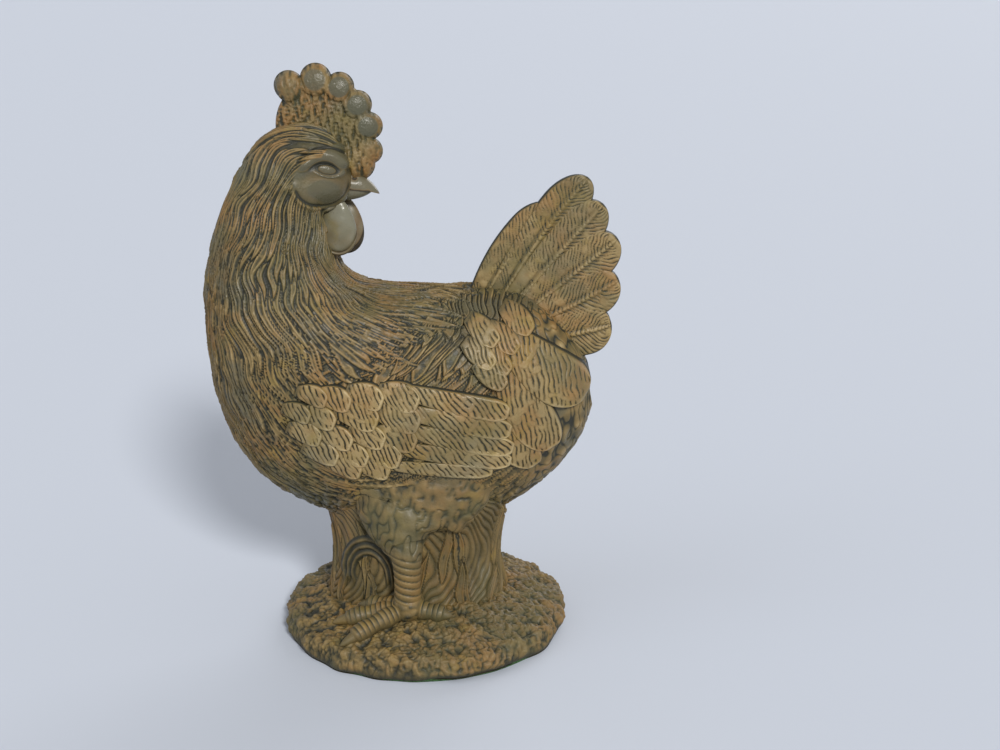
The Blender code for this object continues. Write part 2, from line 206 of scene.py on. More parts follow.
class Sculpture:
    """Closed grids gathered into one object, with what its patina reads.

    Wear is 0 in a recess and 1 on a ridge, and is also lowered for painted shade and raised for painted
    highlight. Tone above 0.72 is polished bare. Fine lines run at whole phases.
    """

    def __init__(self, name):
        self.name = name
        self.points, self.faces = [], []
        self.looks = {"wear": [], "tone": [], "phase": []}

    def add(self, points, wear=0.5, tone=0.5, phase=0.5):
        """A grid that wraps round its columns, with a pole closing each end."""
        rows, around = points.shape[:2]
        coords = np.vstack([points.reshape(-1, 3), points[0].mean(0), points[-1].mean(0)])
        quads = grid_quads(rows, around)
        ring, bottom_ring = np.arange(around), np.arange(around) + (rows - 1) * around
        top = places(rows * around, np.roll(ring, -1), ring)
        bottom = places(rows * around + 1, bottom_ring, np.roll(bottom_ring, -1))
        triangles = np.vstack([top, bottom])
        corners = np.vstack([quads[:, [0, 1, 2]], quads[:, [0, 2, 3]], triangles])
        volume = np.einsum("ij,ij->i", coords[corners[:, 0]],
                           np.cross(coords[corners[:, 1]], coords[corners[:, 2]])).sum()
        if volume < 0:
            quads, triangles = quads[:, ::-1], triangles[:, ::-1]
        start = sum(map(len, self.points))
        self.points.append(coords)
        self.faces.append((quads + start, triangles + start))
        for kept, value in zip(self.looks.values(), (wear, tone, phase)):
            value = np.broadcast_to(value, (rows, around)).reshape(-1)
            kept.append(np.concatenate([value, value[:1], value[-1:]]))

    def build(self, material, slot, *nodes):
        """The object, in place of these nodes, or else of the one with its own name."""
        coords = np.vstack(self.points) * MM
        quads, triangles = (np.vstack(kind) for kind in zip(*self.faces))
        mesh = bpy.data.meshes.new(self.name)
        mesh.vertices.add(len(coords))
        mesh.vertices.foreach_set("co", coords.astype(np.float32).ravel())
        corners = np.concatenate([quads.ravel(), triangles.ravel()])
        mesh.loops.add(len(corners))
        mesh.loops.foreach_set("vertex_index", corners.astype(np.int32))
        sizes = np.concatenate([np.full(len(quads), 4), np.full(len(triangles), 3)])
        starts = np.concatenate([[0], np.cumsum(sizes)[:-1]])
        mesh.polygons.add(len(sizes))
        mesh.polygons.foreach_set("loop_start", starts.astype(np.int32))
        mesh.polygons.foreach_set("use_smooth", np.ones(len(sizes), bool))
        mesh.update(calc_edges=True)
        for name, values in self.looks.items():
            layer = mesh.attributes.new(name, "FLOAT", "POINT")
            layer.data.foreach_set("value", np.concatenate(values).astype(np.float32))
        obj = bpy.data.objects.new(self.name, mesh)
        bpy.context.scene.collection.objects.link(obj)
        mesh.materials.append(material)
        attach(obj, "root")
        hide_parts(*(nodes or [self.name]))


# Materials


RECESS = (0.013, 0.013, 0.008)
OLIVE = (0.046, 0.042, 0.018)
UMBER = (0.128, 0.091, 0.034)
TAN = (0.250, 0.172, 0.064)
PALE = (0.44, 0.345, 0.18)
EARTH = ((0.0, RECESS), (0.26, OLIVE), (0.48, UMBER), (0.78, TAN), (1.0, PALE))
# The wing's ramp reaches its pale colours at lower wear than the others: painted highlight on the ridges.
RUBBED_AND_HIGHLIT = ((0.0, RECESS), (0.22, OLIVE), (0.38, UMBER), (0.55, TAN), (0.86, PALE))
CAST = ((0.0, RECESS), (0.24, OLIVE), (0.42, UMBER), (0.62, TAN), (1.0, PALE))
SMOOTH = ((0.0, (0.10, 0.055, 0.020)), (0.30, (0.15, 0.095, 0.040)), (0.52, (0.17, 0.155, 0.105)),
          (1.0, (0.27, 0.25, 0.19)))
RUST = (0.235, 0.118, 0.034)
MUSTARD = (0.23, 0.165, 0.034)
VERDIGRIS = (0.075, 0.078, 0.034)
HOLLOW_PATINA_AND_SHADE = (0.020, 0.020, 0.013)
SPECK = (0.03, 0.028, 0.017)
FELT = ((0.35, (0.012, 0.045, 0.012)), (0.68, (0.06, 0.15, 0.05)))
FLOOR_COLOUR = (0.55, 0.60, 0.70, 1.0)


def wire(tree, node, key, value):
    """Link or set one input, by name or number, or else set a property."""
    if isinstance(value, bpy.types.NodeSocket):
        tree.links.new(value, node.inputs[key])
    elif isinstance(key, int) or key in node.inputs:
        node.inputs[key].default_value = value
    else:
        setattr(node, key, value)


def add_node(tree, kind, *inputs, **values):
    made = tree.nodes.new(kind)
    for key, value in (*enumerate(inputs), *values.items()):
        wire(tree, made, key, value)
    return made


def new_material(name):
    material = bpy.data.materials.new(name)
    material.use_nodes = True
    return material, material.node_tree


def shade(tree, values):
    """Link or set inputs of the material's shader."""
    for key, value in values.items():
        wire(tree, tree.nodes["Principled BSDF"], key, value)


def colour_ramp(tree, fac, stops, interpolation="LINEAR"):
    made = add_node(tree, "ShaderNodeValToRGB", Fac=fac)
    ramp = made.color_ramp
    ramp.interpolation = interpolation
    while len(ramp.elements) < len(stops):
        ramp.elements.new(0.5)
    for element, (place, colour) in zip(ramp.elements, stops):
        element.position = place
        element.color = (*colour, 1.0)
    return made.outputs["Color"]


def patina(name, stops, rust=0.6, polish=0.6, pit=0.4, sheen=0.4, hatching=0.34,
           buffed_and_highlight=(0.080, 0.082, 0.054)):
    """Aged casting: recess to ridge colours by wear, stained in patches, polished bare in places and with
    painted sheen and highlight on raised parts, under a semi-gloss that varies with wear.
    """
    material, tree = new_material(name)

    def noise(scale, detail, rough=0.6):
        return add_node(tree, "ShaderNodeTexNoise", Scale=scale, Detail=detail, Roughness=rough,
                        Vector=where).outputs["Fac"]

    def maths(operation, *inputs, clamp=False):
        return add_node(tree, "ShaderNodeMath", *inputs, operation=operation, use_clamp=clamp).outputs[0]

    def product(*factors):
        total = factors[0]
        for factor in factors[1:]:
            total = maths("MULTIPLY", total, factor)
        return total

    def plus(total, value, share, clamp=False):
        return maths("MULTIPLY_ADD", value, share, total, clamp=clamp)

    def shifted(total, value, share, clamp=False):
        """The total, plus a share of how far a 0 to 1 value is from its middle."""
        return plus(total, maths("SUBTRACT", value, 0.5), share, clamp)

    def between(value, low, high):
        return add_node(tree, "ShaderNodeMapRange", interpolation_type="SMOOTHSTEP", Value=value,
                        **{"From Min": low, "From Max": high}).outputs["Result"]

    def stained(colour, share, stain):
        made = add_node(tree, "ShaderNodeMix", share, data_type="RGBA")
        wire(tree, made, 6, colour)
        wire(tree, made, 7, (*stain, 1.0))
        return made.outputs[2]

    where = add_node(tree, "ShaderNodeTexCoord").outputs["Object"]
    wear, tone, phase = (add_node(tree, "ShaderNodeAttribute", attribute_name=layer).outputs["Fac"]
                         for layer in ("wear", "tone", "phase"))
    phase = shifted(phase, noise(150.0, 2.0), 1.0)
    wave = maths("COSINE", product(phase, 2 * pi), 0.0)
    line = maths("POWER", plus(0.5, wave, 0.5), 4.0)
    line = product(line, between(noise(190.0, 2.0), 0.38, 0.54))
    wear = plus(wear, line, -hatching)
    grain = noise(420.0, 5.0, 0.7)
    blot = noise(70.0, 4.0)
    depth = shifted(shifted(wear, grain, 0.20), blot, 0.22)
    depth = shifted(depth, maths("MINIMUM", tone, 0.7), 0.16, clamp=True)
    colour = colour_ramp(tree, depth, stops, "B_SPLINE")

    raised = between(wear, 0.30, 0.55)
    colour = stained(colour, product(between(noise(30.0, 5.0, 0.65), 0.44, 0.62), rust, raised), RUST)
    colour = stained(colour, product(between(noise(62.0, 4.0), 0.52, 0.68), 0.45, raised), MUSTARD)
    colour = stained(colour, product(between(noise(22.0, 3.0), 0.47, 0.62), 0.42), VERDIGRIS)
    # Raised parts take the polished colour: bare where the tone is high, and in noise patches of painted
    # sheen and highlight.
    rubbed_and_highlight = maths("MAXIMUM", product(between(noise(26.0, 3.0), 0.50, 0.66), sheen, raised),
                   product(between(tone, 0.72, 0.95), 0.86, raised))
    colour = stained(colour, rubbed_and_highlight, buffed_and_highlight)
    # Darker again where wear is low: patina in the hollows, and painted shade along feather borders and round
    # sunk feather sheets.
    colour = stained(colour, product(between(wear, 0.36, 0.10), 0.85), HOLLOW_PATINA_AND_SHADE)
    colour = stained(colour, product(between(noise(800.0, 2.0), 0.66, 0.76), 0.35), SPECK)

    gloss = shifted(plus(0.62, wear, -0.28 * polish), blot, 0.35)
    gloss = maths("MAXIMUM", plus(gloss, rubbed_and_highlight, -0.30), 0.24)
    pits = add_node(tree, "ShaderNodeTexVoronoi", Scale=620.0, Vector=where).outputs["Distance"]
    rough = plus(plus(product(pits, 0.35), grain, 0.8), line, -0.9)
    bump = add_node(tree, "ShaderNodeBump", Strength=pit, Distance=0.0009, Height=rough)
    shade(tree, {"Base Color": colour, "Roughness": gloss, "Specular IOR Level": 0.36, "Coat Weight": 0.07,
                 "Coat Roughness": 0.25, "Normal": bump.outputs["Normal"]})
    return material


def felt_material():
    material, tree = new_material("felt")
    where = add_node(tree, "ShaderNodeTexCoord").outputs["Object"]
    fibre = add_node(tree, "ShaderNodeTexNoise", Scale=900.0, Detail=6.0, Vector=where).outputs["Fac"]
    colour = colour_ramp(tree, fibre, FELT)
    bump = add_node(tree, "ShaderNodeBump", Strength=0.8, Distance=0.0006, Height=fibre)
    shade(tree, {"Base Color": colour, "Roughness": 0.95, "Normal": bump.outputs["Normal"]})
    return material


# Body with the neck, the head and their plumage


def body_grid(rows, around):
    """Sections along the body, each from its outer place, down the breast and belly, to its inner place."""
    rings = [(BODY_FRONT_X + outer_x * BODY_LENGTH, BELLY_Z + outer_z * BODY_HEIGHT,
              BODY_FRONT_X + inner_x * BODY_LENGTH, BELLY_Z + inner_z * BODY_HEIGHT,
              width * BODY_HALF_WIDTH) for outer_x, outer_z, inner_x, inner_z, width in SECTIONS]
    line = evenly(rings, rows)
    outer, inner, wide = line[:, :2], line[:, 2:4], line[:, 4]
    turns = circle(around)
    middle, chord = (outer + inner) / 2, (outer - inner) / 2
    flat = middle[:, None] + chord[:, None] * np.cos(turns)[None, :, None]
    y = wide[:, None] * np.sin(turns)[None, :]
    return places(flat[..., 0], y, flat[..., 1])


class Relief:
    """Heights over a wrapped grid, painted feather over feather so that later ones lie on earlier ones."""

    def __init__(self, points, flow=4.0):
        size = self.rows, self.around = points.shape[:2]
        self.height = np.zeros(size)
        self.worn, self.tone, self.phase = np.full(size, 0.42), np.full(size, 0.5), np.full(size, 0.5)
        self.down = norm(np.gradient(points, axis=0), axis=2)
        across = norm(np.roll(points, -1, axis=1) - np.roll(points, 1, axis=1), axis=2) / 2
        self.across = np.maximum(across, 0.02)
        self.travel = np.cumsum(self.down, axis=0)
        self.flow = flow * ripple(points, 48.0, 5) + 0.3 * flow * ripple(points, 20.0, 6)

    def feather(self, row, column, length, width, turn, rise, side, curl=0.0, lines=2.9):
        """One pointed feather from its root, turned from the grid's length, along the shared flow."""
        row = int(round(row))
        column = int(round(column)) % self.around
        if not 0 <= row < self.rows:
            return
        step_down, step_across = self.down[row, column], self.across[row, column]
        ahead = int(length * 1.15 / step_down) + 2
        behind = ahead if abs(turn) > 1.0 else int(width / step_down) + 2
        wide = int((length * abs(sin(turn)) + 2 * width + 9.0) / step_across) + 2
        wide = min(wide, self.around // 2 - 1)
        rows = np.arange(max(0, row - behind), min(self.rows, row + ahead))
        columns = np.arange(-wide, wide + 1)
        target = np.ix_(rows, (column + columns) % self.around)
        du = self.travel[target] - self.travel[row, column]
        dv = columns[None, :] * self.across[target] * side
        dv = dv + (self.flow[target] - self.flow[row, column])
        s, off = turned(du, dv, turn)
        s = s / length
        off = off + curl * width * np.sin(s * pi * 1.5)
        clipped = unit(s)
        half = width / 2 * unit(np.sin(pi * clipped**0.8)) ** 0.6
        inside = (s >= 0) & (s <= 1) & (half > 0.08)
        near = half - np.abs(off)
        inside &= near > 0
        border = ease(0.0, 0.9, near)
        rim = peak(near, 1.3, 0.55) * ease(0.02, 0.2, clipped)
        height = rise * (0.5 + 0.5 * clipped) * border + 0.45 * rise * rim
        # Lighter on the rim; darker towards the border, patina in the groove with painted shade.
        worn = (0.42 + draw(-0.06, 0.06) + 0.30 * rim) * (0.10 + 0.90 * border)
        tone = draw(0.3, 0.7)
        count = max(1.0, round(width / lines))
        strand = (0.5 + 0.5 * (near / np.maximum(half, 0.3))) * count
        phase = np.where(near > 0.9, strand * 0.5 + 0.25 * (count % 2), 0.5)
        for field, value in ((self.height, height), (self.worn, worn), (self.tone, tone),
                             (self.phase, phase)):
            field[target] = np.where(inside, value, field[target])

    def pair(self, row, share, *args, **kwargs):
        """The same feather on both sides, at a share of the way from breast line to back line."""
        half = self.around / 2
        self.feather(row, share * half, *args, side=1.0, **kwargs)
        self.feather(row, self.around - share * half, *args, side=-1.0, **kwargs)


def plumage(relief):
    """Saddle, breast and belly feathers from the tail forwards, then the long neck hackles up to the head."""
    rows = relief.rows
    half = relief.around // 2
    layers = 22
    for number in reversed(range(layers)):
        along = number / (layers - 1)
        row = rows * (0.45 + 0.52 * along)
        girth = relief.across[int(min(row, rows - 1)), :half].sum()
        count = int(girth / 6.4)
        for k in range(count):
            share = (k + 0.5 * (number % 2) + draw(-0.25, 0.25)) / count
            if share > 0.40:
                sweep = -1.42 * ease(-0.06, 0.16, along) * ease(1.03, 0.96, share)
                relief.pair(row, share, draw(32, 46), draw(6.4, 8.8),
                            sweep + draw(-0.08, 0.08), 1.5 * draw(0.75, 1.15), curl=0.22)
            else:
                droop = -1.25 * ease(0.14, 0.55, along)
                long = 30.0 - 17.0 * ease(0.0, 0.5, along)
                relief.pair(row, share, long * draw(0.7, 1.2), draw(4.8, 6.6),
                            droop + draw(-0.2, 0.2), 1.2 * draw(0.6, 1.2))
    for tier in (0.56, 0.66, 0.76, 0.86, 0.95):
        row = rows * 0.88
        while row > rows * 0.40:
            turn = -1.2 * ease(rows * 0.40, rows * 0.52, row)
            relief.pair(row, tier + draw(-0.03, 0.03), draw(32, 44), draw(8.0, 10.5),
                        turn + draw(-0.1, 0.1), 1.7 * draw(0.8, 1.15), curl=0.30, lines=3.6)
            row -= draw(4.8, 6.2) / relief.down[int(row), half // 2]
    first, shoulder = int(rows * 0.03), int(rows * 0.50)
    layers = 18
    for number in reversed(range(layers)):
        row = first + (shoulder - first) * number / (layers - 1)
        girth = relief.across[int(row), :half].sum()
        pitch = 4.4 + 1.6 * number / layers
        count = max(10, int(girth / pitch))
        length = 34.0 + 44.0 * min(1.0, number / 6)
        for k in range(count):
            share = (k + 0.5 * (number % 2) + draw(-0.3, 0.3)) / count
            falling = ease(0.50, 0.85, number / (layers - 1)) * ease(0.42, 0.66, share)
            relief.pair(row + draw(-0.5, 0.5) * rows / 36, share,
                        length * (1 - 0.5 * falling) * draw(0.75, 1.2),
                        pitch * (1 + 0.5 * falling) * draw(1.0, 1.35),
                        -1.15 * falling + draw(-0.04, 0.04), 1.6 * draw(0.7, 1.15), curl=0.12)


def oval(points, x, z, half_x, half_z, lean=0.0):
    """How far points lie from an oval's middle on the flank, 1 at its edge."""
    dx, dz = points[..., 0] - x, points[..., 2] - z
    along, across = turned(dx, dz, lean)
    return np.sqrt((along / half_x) ** 2 + (across / half_z) ** 2)


# Parts of the face as ovals: middle in X and Z, half sizes, lean
CHEEK = (-60.0, 308.5, 17.4, 16.0)
FRONT = (-49.0, 314.0, 13.0, 18.0)
CHEEK_SWELL = (-59.0, 304.5, 12.0, 8.5, -0.1)
EYE = (-56.0, 317.0, 5.6, 2.7, -0.25)
BROW = (-58.5, 309.5, 15.5, 17.0, -0.15)
EAR = (-79.5, 306.0, 4.6, 3.0, 0.5)


def face(points, height, tone):
    """Smooth cheek over a folded rim, a sleepy almond eye, and a heavy brow curving down to the beak."""
    side = ease(4.0, 11.0, np.abs(points[..., 1]))
    x, z = points[..., 0], points[..., 2]
    cheek, eye, brow = (oval(points, *place) for place in (CHEEK, EYE, BROW))
    bare = np.maximum(1 - ease(0.90, 1.04, cheek), 1 - ease(0.92, 1.08, oval(points, *FRONT)))
    height, tone = blend(height, 1.0, bare), blend(tone, 0.94, bare)
    low = ease(311.0, 303.0, z)
    height += 1.3 * peak(cheek, 1.03, 0.07) * low * side
    height -= 0.6 * peak(cheek, 0.90, 0.05) * low * side
    height += side * 1.6 * np.exp(-(oval(points, *CHEEK_SWELL) ** 2) * 1.6)
    height += side * 0.8 * np.sqrt(unit(1.0 - (eye / 0.98) ** 2))
    lids = peak(eye, 1.12, 0.13)
    height -= side * 0.5 * lids * ease(-1.5, 1.5, z - 316.4 + 0.25 * (x + 56.0))
    height -= side * 0.12 * lids
    height += side * 0.9 * peak(eye, 1.62, 0.20) * ease(1.0, -2.0, z - 316.0)
    arch = ease(315.0, 320.0, z) * ease(-76.0, -70.0, x)
    for rise, at, width in ((2.3, 0.93, 0.17), (-1.3, 1.20, 0.05), (-0.8, 0.66, 0.07)):
        height += side * rise * peak(brow, at, width) * arch
    height += side * 1.8 * peak(oval(points, *EAR), 0.0, 1.0)
    return height, tone, bare


def build_body(material):
    points = body_grid(BODY_ROWS, BODY_AROUND)
    normals = grid_normals(points)
    relief = Relief(points)
    plumage(relief)
    rows = np.arange(BODY_ROWS)[:, None] / BODY_ROWS
    belly = 1 - ease(96.0, 122.0, points[..., 2])
    stipple = 0.6 * ripple(points, 9.0, 14) - 1.3 * creased(points, 13)
    height = relief.height * (1 - 0.6 * belly) + 0.8 * belly * stipple
    height = height + 0.10 * ripple(points, 3.0, 11) + 0.30 * ripple(points, 14.0, 12)
    end = ease(0.82, 0.90, rows)
    height = height * ease(0.0, 0.02, rows) * (1 - end) + 0.5 * end * stipple
    height, tone, bare = face(points, height, relief.tone)
    fine = height - blurred(height, NEAR_BLUR)
    worn = relief.worn * (1 - 0.6 * belly) + (0.52 + 0.20 * stipple) * 0.6 * belly
    creases = np.clip(height - blurred(height, FAR_BLUR), -1.0, 0.7)
    worn = blend(worn, 0.45 + 0.32 * creases, bare)
    worn = blend(worn, 0.52 + 0.20 * stipple, end)
    worn = worn - 0.06 * ease(200.0, 260.0, points[..., 2]) * (1 - bare)
    phase = np.where((bare > 0.02) | (belly > 0.5) | (end > 0.1), 0.5, relief.phase)
    wear = unit(worn + 0.20 * np.clip(fine, -1.2, 0.6))
    solid = Sculpture("hen_body")
    solid.add(points + normals * height[..., None], wear, tone, phase)
    solid.build(material, "body_patina", "body_shell", "head")


# Feathers that stand on the flank


def flank_tree():
    """The plain body form, for feathers to lie on."""
    rows, around = 150, 120
    points = body_grid(rows, around)
    return BVHTree.FromPolygons([Vector(p) for p in points.reshape(-1, 3)],
                                grid_quads(rows, around).tolist())


def flank_depth(tree, x, z, least):
    """How far the body reaches towards -Y at each place, at least this much."""
    found = np.empty(x.shape)
    for index in np.ndindex(x.shape):
        hit = tree.ray_cast(Vector((x[index], -200.0, z[index])), Vector((0, 1, 0)))[0]
        found[index] = max(-hit.y, least) if hit is not None else least
    return found


def feather_grid(root, tip, width, bend, length_steps, width_steps, round_from=0.62, root_share=0.55):
    """Places in the XZ plane over one feather, with its along and across shares."""
    root, tip = np.array(root, float), np.array(tip, float)
    ahead = tip - root
    length = norm(ahead)
    ahead /= length
    across = np.array([-ahead[1], ahead[0]])
    s = np.linspace(0, 1, length_steps) ** 0.85
    s[-1] = 0.9995
    t = np.sin(np.linspace(-1, 1, width_steps) * pi / 2)
    s, t = np.meshgrid(s, t, indexing="ij")
    wide = root_share + (1 - root_share) * np.sin(np.minimum(s / round_from, 1.0) * pi / 2)
    wide = wide * np.sqrt(unit(1 - unit((s - round_from) / (1 - round_from)) ** 2.2))
    half = width / 2 * wide
    curve = bend * 4 * s * (1 - s)
    place = root + s[..., None] * length * ahead + (half * t + curve)[..., None] * across
    return place[..., 0], place[..., 1], s, t, length


def carved(s, t, length, width, phase, kept, rim_from=0.55):
    """Height, wear and line phase of a feather: a border darkened as patina in the groove and as painted
    shade, a rim lightened as wear and as painted highlight, and hatching inside that fades out in patches.
    """
    near = np.minimum((1 - np.abs(t)) * width / 2, (1 - s) * length)
    border = ease(0.0, 1.5, near)
    tipward = ease(rim_from, rim_from + 0.25, s)
    rim = peak(near, 2.0, 1.3) * tipward
    inner = ease(0.8, 1.6, near - 1.5 * tipward) * ease(0.0, 0.12, s)
    inner = inner * kept
    line = hatch(phase) * inner
    height = 1.1 * (border - 1) + 0.6 * rim - 0.75 * line
    rootward = 0.55 + 0.45 * ease(0.0, 0.25, s)
    # Lighter on the rim, partly painted highlight; darker towards the border, patina in the groove with
    # painted shade.
    wear = (0.62 - 0.26 * line + 0.26 * rim) * (0.04 + 0.96 * border) * rootward
    return height, unit(wear), np.where(inner > 0.5, phase, 0.5)


def pillow(s, t, flat, end):
    """How full a feather is: rounded off along its edges and at its tip."""
    return unit(1 - np.abs(t) ** flat) ** 0.5 * unit((1 - s) * end) ** 0.5


def lay_feather(tree, root, tip, width, lift, rise, thick=1.6, bend=0.0, least=4.0, pitch=2.7,
                lean=0.25, round_from=0.62, fine=1.0, sunk=4.0):
    """One relief feather on the near flank, as its grid, wear, tone and line phase."""
    steps = ((int(80 * fine) + 26, int(40 * fine) + 18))
    x, z, s, t, length = feather_grid(root, tip, width, bend, *steps, round_from=round_from)
    depth = flank_depth(tree, x, z, least)
    rng = np.random.default_rng(int(abs(root[0] * 31 + root[1] * 17)) + 3)
    flat = places(x, 0.0, z)
    across, down = turned(x, z, lean)
    uneven = 0.20 * np.sin(down / 5.5 + rng.uniform(0, 6)) + 0.16 * np.sin(across / 6.0 + rng.uniform(0, 6))
    phase = across / pitch + uneven + rng.random() + 0.22 * ripple(flat, 11.0, 58)
    kept = ease(-0.9, -0.3, ripple(flat, 7.5, 59))
    height, worn, phase = carved(s, t, length, width, phase, kept)
    top = depth + lift + rise * s + thick * pillow(s, t, 4, 10) + height
    points = places(doubled(x, x), -doubled(top, depth + lift - sunk), doubled(z, z))
    # The sunk lower sheet is dark where its sides show round the raised feather: painted shade.
    return points, doubled(worn, np.full_like(worn, 0.05)), 0.5, doubled(phase, np.full_like(worn, 0.5))


class Flanks:
    """Feathers on the right flank, and their mirror image on the left."""

    def __init__(self, name, tree):
        self.tree = tree
        self.sides = [(Sculpture(f"{name}_right"), 1), (Sculpture(f"{name}_left"), -1)]

    def lay(self, *args, **kwargs):
        points, *looks = lay_feather(self.tree, *args, **kwargs)
        for solid, sign in self.sides:
            solid.add(points * (1, sign, 1), *looks)

    def build(self, material, slot):
        for solid, _ in self.sides:
            solid.build(material, slot)


FLIGHTS = (
    ((-14.0, 186.0), (58.5, 167.0), 16.5),
    ((-14.0, 173.5), (60.0, 154.5), 16.5),
    ((-16.0, 161.0), (61.5, 142.0), 16.5),
    ((-22.0, 148.5), (60.0, 132.5), 15.5),
    ((-32.0, 136.0), (48.0, 125.5), 12.5),
)
SCALLOPS = (
    (-55.0, 178.0, 0.80), (-40.5, 175.5, 0.90), (-20.5, 176.5, 0.95), (1.5, 175.0, 1.05),
    (-66.0, 166.5, 0.75), (-50.5, 163.0, 0.90), (-24.0, 163.5, 1.10), (2.0, 161.5, 1.10),
    (-60.0, 151.5, 0.90), (-40.5, 149.0, 0.95), (-20.0, 150.0, 0.95), (-0.5, 148.0, 1.05),
    (-50.0, 137.5, 0.95), (-31.0, 137.0, 0.95), (-10.5, 136.5, 1.05),
    (-36.0, 127.5, 0.90), (-18.0, 127.0, 0.90),
)


def build_wings(tree, material):
    """Scalloped shoulder feathers over long flight feathers, on each flank."""
    wings = Flanks("wing", tree)
    for number, (root, tip, width) in enumerate(FLIGHTS):
        wings.lay(root, tip, width, 0.5 + 0.45 * (len(FLIGHTS) - number), 1.0, thick=1.9, bend=-0.6,
                  lean=0.62, pitch=3.0, round_from=0.84, fine=1.2)
    for number, (x, z, size) in enumerate(SCALLOPS):
        wings.lay((x - 25.0 * size, z + 9.5 * size), (x, z), 19.0 * size,
                  1.1 + 0.30 * (len(SCALLOPS) - number) / 4, 1.5, thick=2.1, bend=1.5, lean=0.36, pitch=2.9,
                  round_from=0.60, fine=0.7)
    wings.build(material, "wing_patina")


COVERTS = (
    ((42.0, 176.0), (76.0, 126.0), 25.0, 0.0),
    ((54.0, 200.0), (87.0, 138.0), 31.0, 1.2),
    ((57.0, 213.0), (109.0, 171.0), 33.0, 2.6),
)
RUMP_SCALES = ((49.0, 190.0), (42.0, 203.0), (52.0, 199.0), (44.0, 216.0), (57.0, 211.0), (66.0, 221.0))


def build_coverts(tree, material):
    """Broad feathers that wrap the rump, under a few small scales."""
    coverts = Flanks("tail_coverts", tree)
    for root, tip, width, lift in COVERTS:
        coverts.lay(root, tip, width, lift, 1.6, thick=2.2, bend=-2.5, least=11.0, pitch=3.1, lean=0.20,
                    round_from=0.62, fine=1.2, sunk=13.6)
    for number, (x, z) in enumerate(RUMP_SCALES):
        coverts.lay((x - 13.0, z + 10.0), (x + 7.0, z - 6.0), 15.5, 3.4 - 0.2 * number, 1.4, thick=1.9,
                    lean=0.34, round_from=0.5, fine=0.6)
    coverts.build(material, "tail_patina")


TAIL = (
    ((38.0, 222.0), (89.0, 291.0), 30.0, 5.0),
    ((50.0, 226.0), (108.0, 309.0), 29.0, 3.0),
    ((58.0, 222.0), (118.0, 292.0), 30.0, 1.0),
    ((62.0, 217.0), (127.5, 270.0), 31.0, 0.0),
    ((62.0, 210.0), (129.0, 243.0), 31.0, -1.5),
    ((60.0, 202.0), (125.0, 213.0), 33.0, -1.5),
)


def build_tail(material):
    """Fan of broad feathers, carved on both faces."""
    solid = Sculpture("tail_fan")
    steps = ((130, 44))
    for number, (root, tip, width, bend) in enumerate(TAIL):
        x, z, s, t, length = feather_grid(root, tip, width, bend, *steps, round_from=0.74, root_share=0.7)
        place = places(x, 0.0, z)
        uneven = 0.2 * np.sin(s * 9.0 + np.random.default_rng(50 + number).uniform(0, 6))
        phase = s * length / 3.1 - np.abs(t) * width / 2 / 3.1 * 0.95 + uneven
        phase = phase + 0.30 * ripple(place, 10.0, 57)
        kept = ease(-0.3, 0.5, ripple(place, 8.0, 55) + 1.1 * ease(0.2, 0.6, s)
                          - 0.7 * ease(0.86, 0.97, s))
        height, worn, phase = carved(s, t, length, width, phase, kept, rim_from=0.85)
        worn = worn + 0.06 * ripple(place, 6.0, 56)
        lift = 1.25 * number
        shaft = peak(t * width / 2, 0.0, 1.3) * (1 - 0.55 * s)
        beside = peak(np.abs(t) * width / 2, 2.2, 0.7) * (1 - 0.5 * s)
        half = (4.6 - 1.6 * s) * (0.4 + 0.6 * pillow(s, t, 6, 14)) + lift * (1 - 0.45 * s) + 0.8 * height
        half = half + 2.2 * shaft - 1.5 * beside
        worn = unit(worn * (1 - 0.75 * beside) + 0.20 * shaft)
        points = places(doubled(x, x), doubled(-half, half), doubled(z, z))
        solid.add(points, doubled(worn, worn), 0.5, doubled(phase, phase))
    solid.build(material, "tail_patina")


# Head furniture


COMB_CENTRE = (-59.0, 341.0)
COMB_PLATE = 31.0
COMB_KNOBS = (
    # middle in X and Z, radius, how smooth
    (-80.5, 366.5, 9.5, 0.45), (-63.5, 370.5, 10.0, 0.8), (-48.5, 366.0, 9.0, 1.0), (-37.5, 355.0, 8.8, 1.0),
    (-31.0, 341.5, 8.8, 1.0), (-31.0, 326.0, 8.5, 0.5), (-38.5, 318.0, 11.0, 0.0),
)


